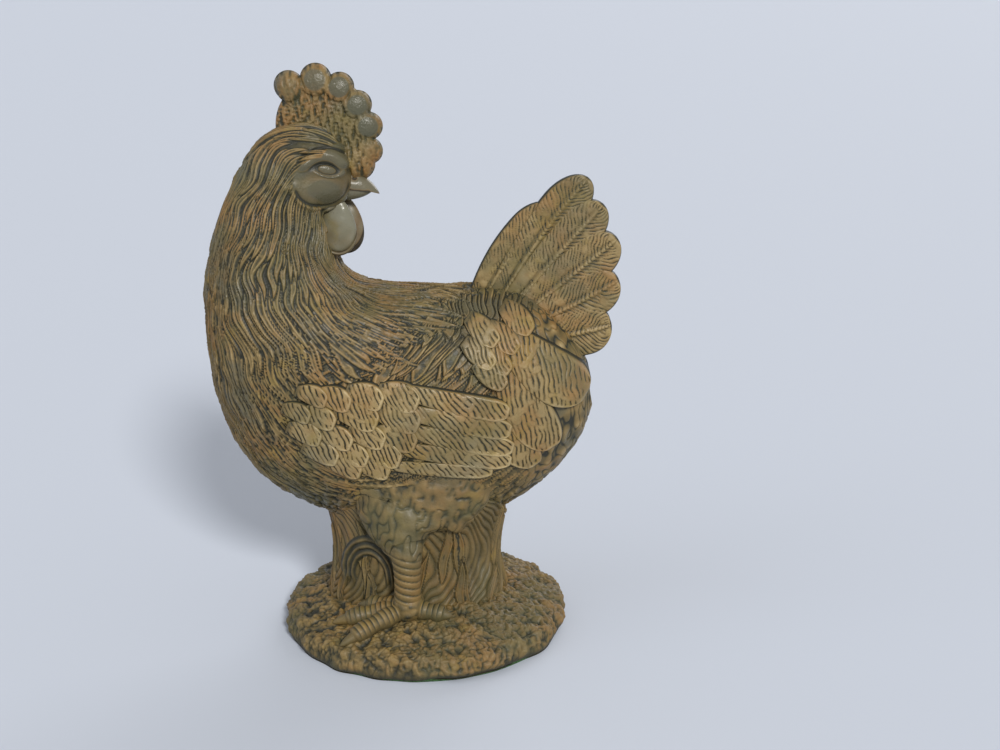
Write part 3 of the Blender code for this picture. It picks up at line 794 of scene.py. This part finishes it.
def build_comb(material):
    """A thick pitted comb edged with smooth knobs, running down the forehead to the beak."""
    solid = Sculpture("comb")
    count = 460
    turns = circle(count)
    ray = np.stack([np.cos(turns), np.sin(turns)], axis=1)
    radius = np.full(count, COMB_PLATE)
    for x, z, size, _ in COMB_KNOBS:
        offset = np.array([x, z]) - COMB_CENTRE
        along = ray @ offset
        inside = size**2 - (offset @ offset - along**2)
        reach = along + np.sqrt(np.maximum(inside, 0.0))
        radius = np.where((inside > 0) & (along > 0), np.maximum(radius, reach), radius)
    layers, wears, tones = [], [], []
    profile = np.concatenate([np.linspace(0.03, 0.92, 70), np.sin(np.linspace(1.18, pi / 2, 14))])
    for share in profile:
        flat = np.array(COMB_CENTRE) + (share * radius)[:, None] * ray
        spots = places(flat[:, 0], 0.0, flat[:, 1])
        plate = 6.0 * unit(1 - share**9) ** 0.5 * (1 - 0.25 * share**3)
        ball, plain = np.zeros(count), np.zeros(count)
        for x, z, size, smooth in COMB_KNOBS:
            away = np.hypot(flat[:, 0] - x, flat[:, 1] - z) / size
            bulge = size * 0.86 * np.sqrt(unit(1 - away**2))
            plain = np.where(bulge > ball, smooth * ease(0.95, 0.55, away), plain)
            ball = np.maximum(ball, bulge)
        folds = ripple(spots * (1.25, 1.0, 0.55), 4.2, 31) + 0.5 * ripple(spots, 2.4, 32)
        folds = np.clip(folds, -1.1, 0.5)
        carve = (1 - plain) * 0.95 * folds
        groove = peak(ball, 1.6, 1.4) * ease(0.72, 0.95, share)
        deep = plate + 0.36 * ball * unit(1 - share**12) + carve - 0.5 * groove
        deep = np.maximum(deep, 0.3) * unit((1 - share) * 30) ** 0.5 + 0.02
        layers.append(places(flat[:, 0], -deep, flat[:, 1]))
        wears.append(unit(0.54 + 0.26 * (1 - plain) * folds - 0.20 * groove))
        tones.append(0.5 + 0.5 * plain)
    points = np.array(layers + [layer * (1, -1, 1) for layer in layers[-2::-1]])
    solid.add(points, np.array(wears + wears[-2::-1]), np.array(tones + tones[-2::-1]))
    solid.build(material, "comb_patina")


def oval_blob(middle, sizes, rows=60, around=80, taper=0.0):
    """An egg: half sizes in X, Y and Z, and a taper that thins its upper end."""
    polar = np.linspace(0.02, pi - 0.02, rows)[:, None]
    turn = circle(around)[None, :]
    thin = 1 - taper * (np.cos(polar) * 0.5 + 0.5) ** 1.2
    x = sizes[0] * np.sin(polar) * np.cos(turn) * thin
    y = sizes[1] * np.sin(polar) * np.sin(turn) * thin
    return places(x, y, sizes[2] * np.cos(polar)) + np.array(middle)


WATTLE_HALF = (14.0, 6.0, 18.6)


def build_wattles(material):
    """Smooth pendant wattles with a rolled rim, one each side of the throat."""
    for name, side, slip, drop in (("wattle_right", -1.0, 0.0, 0.0), ("wattle_left", 1.0, 3.0, -2.0)):
        solid = Sculpture(name)
        middle = np.array((-51.5 + slip, side * 8.6, 278.6 + drop))
        points = oval_blob(middle, WATTLE_HALF, taper=0.42)
        offset = points - middle
        edge = np.sqrt((offset[..., 0] / WATTLE_HALF[0]) ** 2 + (offset[..., 2] / WATTLE_HALF[2]) ** 2)
        low = ease(7.0, -1.0, offset[..., 2] - 0.5 * offset[..., 0])
        groove = peak(edge, 0.86, 0.045) * low
        rim = ease(0.88, 0.95, edge) * low
        points[..., 1] += np.sign(offset[..., 1]) * (0.9 * rim - 0.6 * groove) * ease(1.02, 0.99, edge)
        points[..., 1] += 0.30 * ripple(points, 9.0, 41)
        # The far wattle is darker by 0.30 all over: painted shade.
        wear = 0.70 + 0.10 * ripple(points, 9.0, 42) - 0.50 * groove - 0.42 * rim - 0.30 * (side > 0)
        solid.add(points, unit(wear), 0.5)
        solid.build(material, "wattle_patina")


def tube_grid(path, radii, around, guide=(0.0, 1.0, 0.0), flatten=1.0):
    """Rings across a path in space, with radii and how round they are."""
    path = np.asarray(path, float)
    ahead = np.gradient(path, axis=0)
    ahead /= norm(ahead, axis=1, keepdims=True)
    side = np.cross(ahead, np.array(guide))
    side /= norm(side, axis=1, keepdims=True)
    other = np.cross(side, ahead)
    turns = circle(around)[None, :, None]
    flatten = np.broadcast_to(flatten, len(path))[:, None, None]
    ring = np.cos(turns) * side[:, None] + flatten * np.sin(turns) * other[:, None]
    return path[:, None] + np.asarray(radii)[:, None, None] * ring


BEAK_ROOT_X = -54.0
BEAK_HALVES = (
    # up or down, tip in X, depth and half width at the root
    ("beak_upper", 1.0, -25.4, 12.5, 9.0),
    ("beak_lower", -1.0, -29.5, 8.5, 7.8),
)


def build_beak(material):
    """Short stout beak in two halves, meeting in a closed mouth line."""
    turns = circle(56)
    for name, sign, tip, deep, half in BEAK_HALVES:
        solid = Sculpture(name)
        along = np.linspace(0, 1, 60)
        x = BEAK_ROOT_X + (tip - BEAK_ROOT_X) * along
        shut = 303.4 - 0.10 * (x - BEAK_ROOT_X) - 2.2 * along**5 * (sign > 0)
        size = unit(1 - along**2.3) ** 0.80 * 0.97 + 0.03
        tall = np.where(np.sin(turns) > 0, deep, 0.5)
        y = half * (unit(1 - along**2.3) ** 0.6 * 0.96 + 0.04)[:, None] * np.cos(turns)[None, :]
        bulge = np.abs(np.sin(turns)) ** 0.85 * tall * np.sign(np.sin(turns))
        z = shut[:, None] + sign * (0.12 + bulge[None, :] * size[:, None])
        points = places(x[:, None], y, z)
        nostril = np.exp(-(((points[..., 0] + 40.5) / 2.0) ** 2 + ((points[..., 2] - 309.0) / 1.1) ** 2))
        points[..., 1] *= 1 - 0.30 * nostril
        wear = 0.56 - 0.5 * nostril + 0.10 * ripple(points, 6.0, 44) + 0.15 * (along[:, None] > 0.8)
        wear = wear - 0.35 * ease(1.6, 0.2, np.abs(points[..., 2] - shut[:, None]))
        solid.add(points, unit(wear), 0.9)
        solid.build(material, "beak_patina")


# Legs and feet


def base_height(radius):
    share = np.minimum(1.0, radius / BASE_RADIUS)
    return BASE_FOOT + BASE_RIM_HEIGHT + MOUND_RISE * (1.0 - share**2.6)


THIGH_RINGS = (
    # height, middle in X, how far in from the shank's own line, half length, how flat
    (136.0, -4.0, 25.0, 56.0, 0.33),
    (126.0, -4.0, 21.0, 56.0, 0.35),
    (116.0, -5.0, 18.5, 54.0, 0.36),
    (107.0, -6.0, 17.0, 50.0, 0.38),
    (98.0, -8.0, 15.0, 42.0, 0.44),
    (90.0, -11.0, 11.0, 32.0, 0.55),
    (82.0, -12.0, 7.5, 23.0, 0.68),
    (75.0, -11.0, 4.2, 15.5, 0.85),
    (69.0, -9.5, 1.2, 10.8, 1.00),
    (60.0, -9.0, 0.0, 9.2, 1.00),
    (46.0, -9.0, 0.0, 8.6, 1.00),
    (34.0, -9.0, 0.0, 9.4, 1.00),
)


def build_legs(material):
    """Thighs that run out of the belly as broad cones, over ringed shanks."""
    ankle_z = base_height(hypot(LEG_X, LEG_Y)) + 2.4 * TOE_RADIUS
    for name, side in (("right", -1.0), ("left", 1.0)):
        line = [(x, side * (LEG_Y - inward), z, half, flat) for z, x, inward, half, flat in THIGH_RINGS]
        rows, around = ((260, 200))
        dense = through(line, np.linspace(0, len(line) - 1, rows))
        dense = dense[dense[:, 2] > ankle_z - 8.0]
        points = tube_grid(dense[:, :3], dense[:, 3], around, flatten=dense[:, 4])
        normals = grid_normals(points)
        z = points[..., 2] + 0.22 * (points[..., 0] - LEG_X)
        shank = 1 - ease(66.0, 73.0, z)
        beat = (z / 4.9) % 1.0
        scute = 1.3 * (beat**0.4) * (1 - ease(0.80, 1.0, beat)) - 0.75
        front = 0.35 + 0.65 * unit(normals[..., 1] * side)
        streaks = 0.5 * ripple(points, 9.0, 62) - 1.2 * creased(points, 61)
        relief = shank * front * scute * 1.1 + (1 - shank) * 0.8 * streaks
        solid = Sculpture(f"leg_{name}")
        wear = 0.50 + (0.24 + 0.18 * shank) * relief
        solid.add(points + normals * relief[..., None], unit(wear), 0.45)
        solid.build(material, "leg_patina")
        build_foot(material, name, side, ankle_z)


def build_foot(material, name, side, ankle_z):
    solid = Sculpture(f"foot_{name}")
    ankle = np.array([LEG_X, side * LEG_Y, ankle_z])
    knob = oval_blob(ankle - (0, 0, 10.0), (11.0, 10.5, 11.0), 40, 50)
    bumps = 0.6 * ripple(knob, 5.0, 71)
    solid.add(knob + bumps[..., None], unit(0.45 + 0.4 * bumps), 0.5)
    for length, turn in TOES:
        angle = radians(turn)
        ahead = np.array([cos(angle), -side * sin(angle), 0.0])
        share = np.linspace(0, 1, 130)
        path = ankle + ahead * share[:, None] * length
        path[:, 2] = base_height(np.hypot(path[:, 0], path[:, 1])) + TOE_RADIUS * (0.62 - 0.30 * share)
        knuckle = 1 + 0.10 * np.cos(share * 3 * 2 * pi)
        radius = TOE_RADIUS * (1.02 - 0.22 * share) * knuckle
        claw = ease(0.78, 0.82, share)
        pointed = np.sqrt(np.clip((1.0 - share) / 0.22, 0.0008, 1))
        radius = radius * (1 - claw) + claw * TOE_RADIUS * 0.62 * pointed
        points = tube_grid(path, radius, 56, guide=(0.0, 0.0, 1.0))
        phase = (share * length / 3.4) % 1.0
        scute = (0.9 * phase**0.5 * (1 - ease(0.85, 1.0, phase)) - 0.4) * (1 - claw)
        normals = grid_normals(points)
        relief = scute[:, None] * unit(normals[..., 2] + 0.3)
        wear = 0.38 + 0.85 * relief + 0.06 * claw[:, None]
        solid.add(points + normals * relief[..., None], unit(wear), 0.5)
    solid.build(material, "leg_patina")


# Grass tuft, mound and felt


# A blade bent over in front of the tuft, as an oval arch: middle in X and Z, half sizes
BENT_BLADE = (-34.0, 45.0, 15.5, 25.0)


def build_grass(material):
    """A carved curtain of broad grooved blades that fan out above and below, one bent over in front."""
    solid = Sculpture("grass_tuft")
    rows, around = ((240, 760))
    z = np.linspace(base_height(60.0) - 9.0, TUFT_TOP + 6.0, rows)
    turns = circle(around)
    share = (z - z[0]) / (z[-1] - z[0])
    spread = 1 + 0.10 * (2 * share - 1) ** 2 - 0.04 * np.sin(share * pi)
    x = TUFT_CENTRE_X + (TUFT_HALF_LENGTH - 6.0) * spread[:, None] * np.cos(turns)[None, :]
    y = (TUFT_HALF_WIDTH - 5.0) * spread[:, None] * np.sin(turns)[None, :]
    points = places(x, y, z[:, None])
    normals = grid_normals(points)
    relief = Relief(points, flow=1.6)
    girth = relief.across[rows // 2].sum()
    place = np.cumsum(relief.across, axis=1) / girth
    sway = 0.5 * ripple(points * (1, 1, 0.22), 26.0, 83)
    sway += 0.3 * ripple(points * (1, 1, 0.3), 12.0, 84)
    fan = 1.6 * (share[:, None] - 0.5) * np.sin(3.0 * turns)[None, :]
    ridge = np.abs(np.sin(pi * (place * round(girth / 5.4) + sway + fan))) ** 0.42
    lumpy = ripple(points * (1, 1, 0.4), 9.0, 85)
    relief.height = 2.1 * ridge + 0.7 * lumpy
    relief.worn = 0.10 + 0.38 * ridge + 0.07 * lumpy
    layers = ((0.30, 52.0, 7.5, 2.7, 0.16), (0.0, 62.0, 7.5, 3.0, 0.16), (0.0, 38.0, 6.5, 3.4, 0.30))
    for number, (start, length, width, rise, lean) in enumerate(layers):
        count = int(girth / (width * (2.6 + 0.5 * number)))
        for k in range(count):
            column = around * (k + draw(-0.35, 0.35)) / count
            relief.feather(start * rows + draw(0, 10), column, length * draw(0.7, 1.15),
                           width * draw(0.8, 1.25), draw(-lean, lean), rise * draw(0.8, 1.1), 1.0,
                           curl=draw(-0.4, 0.4), lines=2.2)
    away = oval(points, *BENT_BLADE)
    arch = ease(1.32, 1.26, away) * ease(0.62, 0.68, away)
    arch *= ease(-8.0, 2.0, points[..., 2] - BENT_BLADE[1])
    ring = 0.5 + 0.5 * np.cos((away - 0.66) / 0.2 * 2 * pi)
    height = blend(relief.height, 4.2 - 1.3 * ring + 0.5 * ripple(points, 9.0, 86), arch)
    worn = blend(0.44 + 0.50 * (relief.worn - 0.46), 0.42 - 0.28 * ring, arch)
    phase = np.where(arch > 0.3, 0.5, relief.phase)
    solid.add(points + normals * height[..., None], unit(worn), relief.tone, phase)
    solid.build(material, "grass_patina")


def build_base(material):
    """Rough trodden mound with a rounded uneven rim that dips over the felt, except at the front right."""
    solid = Sculpture("base_mound")
    around = 900
    lower = [(3.0, BASE_FOOT), (60.0, BASE_FOOT)]
    rim = [(BASE_RADIUS - 4.5 + 4.5 * sin(a), BASE_FOOT + 5.0 - 5.0 * cos(a))
           for a in np.linspace(0, pi * 0.62, 10)]
    upper = [(r, float(base_height(r))) for r in np.linspace(BASE_RADIUS - 3.0, 8.0, 14)]
    profile = evenly([(r, z) for r, z in lower + rim + upper], 330)
    turns = circle(around)
    out, up = profile[:, 0:1], profile[:, 1:2]
    points = places(out * np.cos(turns), out * np.sin(turns), up)
    radius = np.hypot(points[..., 0], points[..., 1])
    angle = np.arctan2(points[..., 1], points[..., 0])
    outline = 1.6 * ripple(points * (1, 1, 0), 34.0, 95) * ease(60.0, BASE_RADIUS, radius)
    points = points * (1 + np.clip(outline, -2.4, 1.2) / BASE_RADIUS)[..., None] ** np.array((1, 1, 0))
    upward = ease(BASE_FOOT + 1.0, BASE_FOOT + 6.0, points[..., 2])
    lumps = 0.9 * ripple(points, 16.0, 91) + 0.75 * ripple(points, 7.0, 92) + 0.5 * ripple(points, 3.4, 93)
    bent = angle + 0.06 * ripple(points, 26.0, 94)
    left = ease(pi * 0.50, pi * 0.70, np.abs(angle))
    ray = hatch(bent * 17.0 / pi) * ease(52.0, 66.0, radius) * (1 - ease(84.0, 94.0, radius))
    height = (lumps - 1.5 * ray * (0.25 + 0.75 * left)) * upward * ease(4.0, 20.0, radius)
    crease = creased(points, 96, 6.0)
    height = np.clip(height - 0.9 * crease * upward, -2.4, 1.9)
    normals = grid_normals(points)
    fine = height - blurred(height, 7)
    wear = 0.49 + 0.17 * np.clip(fine, -1.0, 0.7) + 0.04 * lumps - 0.22 * ray * left - 0.10 * crease
    wear = unit(wear) * (0.45 + 0.55 * upward)
    points = points + normals * height[..., None]
    open_front = ease(0.42, 0.22, np.abs(angle + 1.17))
    lip = ease(BASE_RADIUS - 8.0, BASE_RADIUS - 3.5, radius) * ease(9.0, 3.0, points[..., 2])
    points[..., 2] -= 2.1 * lip * (1 - open_front)
    solid.add(points, wear, 0.5)
    solid.build(material, "base_patina")


def build_felt():
    solid = Sculpture("felt_pad")
    radius = BASE_RADIUS - 4.0
    turns = circle(240)
    rows = []
    for r, z in ((2.0, 0.0), (radius * 0.5, 0.0), (radius - 0.4, 0.0), (radius, 0.4),
                 (radius, 1.7), (radius - 0.4, 2.1), (radius * 0.5, 2.1), (2.0, 2.1)):
        wobble = r * (1 + 0.0015 * np.sin(turns * 23.0))
        rows.append(places(wobble * np.cos(turns), wobble * np.sin(turns), z))
    solid.add(np.array(rows))
    solid.build(felt_material(), "felt")


# Stage


ROOM = ((1.0, 0.98, 0.95, 1.0), 0.40)
BACKDROP = ((0.62, 0.68, 0.80, 1.0), 0.85)
LAMPS = (
    # name, where the sun stands, strength, spread in degrees, colour
    ("key", (0.35, -1.0, 0.68), 2.7, 12.0, (1.0, 0.97, 0.92)),
    ("side", (-1.2, -0.5, 0.9), 0.35, 40.0, (0.92, 0.96, 1.0)),
    ("back", (0.5, 1.0, 0.55), 0.9, 40.0, (1.0, 0.98, 0.95)),
)
CAMERA_PLACE = (0.0518, -0.8856, 0.4428)
CAMERA_TILT = 16.7
CAMERA_LENS, CAMERA_SENSOR = 50.0, 36.0


def build_floor():
    bpy.ops.mesh.primitive_plane_add(size=80.0)
    floor = bpy.context.object
    floor.name = "floor"
    material, tree = new_material("floor")
    shade(tree, {"Roughness": 0.9, "Base Color": FLOOR_COLOUR})
    floor.data.materials.append(material)


def build_world():
    """A dim room for the light, with a pale backdrop where it is looked at."""
    world = bpy.context.scene.world or bpy.data.worlds.new("World")
    bpy.context.scene.world = world
    world.use_nodes = True
    tree = world.node_tree
    tree.nodes.clear()
    path = add_node(tree, "ShaderNodeLightPath").outputs
    seen = path["Is Camera Ray"]
    for ray in ("Is Transmission Ray", "Is Glossy Ray"):
        seen = add_node(tree, "ShaderNodeMath", seen, path[ray], operation="MAXIMUM").outputs[0]
    room, backdrop = (add_node(tree, "ShaderNodeBackground", Color=colour, Strength=strength).outputs[0]
                      for colour, strength in (ROOM, BACKDROP))
    mix = add_node(tree, "ShaderNodeMixShader", seen, room, backdrop).outputs[0]
    add_node(tree, "ShaderNodeOutputWorld", Surface=mix)


def add_object(name, data, place):
    made = bpy.data.objects.new(name, data)
    bpy.context.scene.collection.objects.link(made)
    made.location = place
    return made


def build_stage():
    build_floor()
    build_world()
    for name, place, strength, spread, colour in LAMPS:
        data = bpy.data.lights.new(name, "SUN")
        data.energy = strength
        data.angle = radians(spread)
        data.color = colour
        add_object(name, data, place).rotation_euler = Vector(place).to_track_quat("Z", "Y").to_euler()
    data = bpy.data.cameras.new("camera")
    data.lens, data.sensor_width, data.clip_start = CAMERA_LENS, CAMERA_SENSOR, 0.01
    camera = add_object("camera", data, CAMERA_PLACE)
    camera.rotation_euler = (radians(90.0 - CAMERA_TILT), 0.0, 0.0)
    bpy.context.scene.camera = camera
    bpy.context.scene.view_settings.view_transform = "Standard"


def main():
    tree = flank_tree()
    # Sheen amounts and polished colours below paint sheen and highlight on raised parts, pale on the wing and
    # wattles.
    build_body(patina("body_patina", EARTH, sheen=0.75, hatching=0.18))
    build_wings(tree, patina("wing_patina", RUBBED_AND_HIGHLIT, rust=0.5, sheen=0.5, polish=0.9,
                             buffed_and_highlight=(0.17, 0.16, 0.105)))
    tail = patina("tail_patina", CAST, sheen=0.3, hatching=0.26, buffed_and_highlight=(0.14, 0.135, 0.085))
    build_coverts(tree, tail)
    build_tail(tail)
    build_comb(patina("comb_patina", EARTH, rust=0.8, pit=0.6, sheen=0.6))
    build_wattles(patina("wattle_patina", SMOOTH, rust=0.3, polish=1.3, pit=0.15, sheen=0.9,
                         buffed_and_highlight=(0.175, 0.17, 0.122)))
    build_beak(patina("beak_patina", SMOOTH, rust=0.4, polish=1.0, pit=0.25, sheen=0.6,
                      buffed_and_highlight=(0.105, 0.105, 0.070)))
    build_legs(patina("leg_patina", EARTH, rust=0.4, polish=0.3, sheen=0.3))
    build_grass(patina("grass_patina", EARTH, rust=0.5, polish=0.2, sheen=0.2))
    build_base(patina("base_patina", EARTH, rust=0.5, polish=0.2, pit=0.9, sheen=0.2))
    build_felt()
    build_stage()


main()
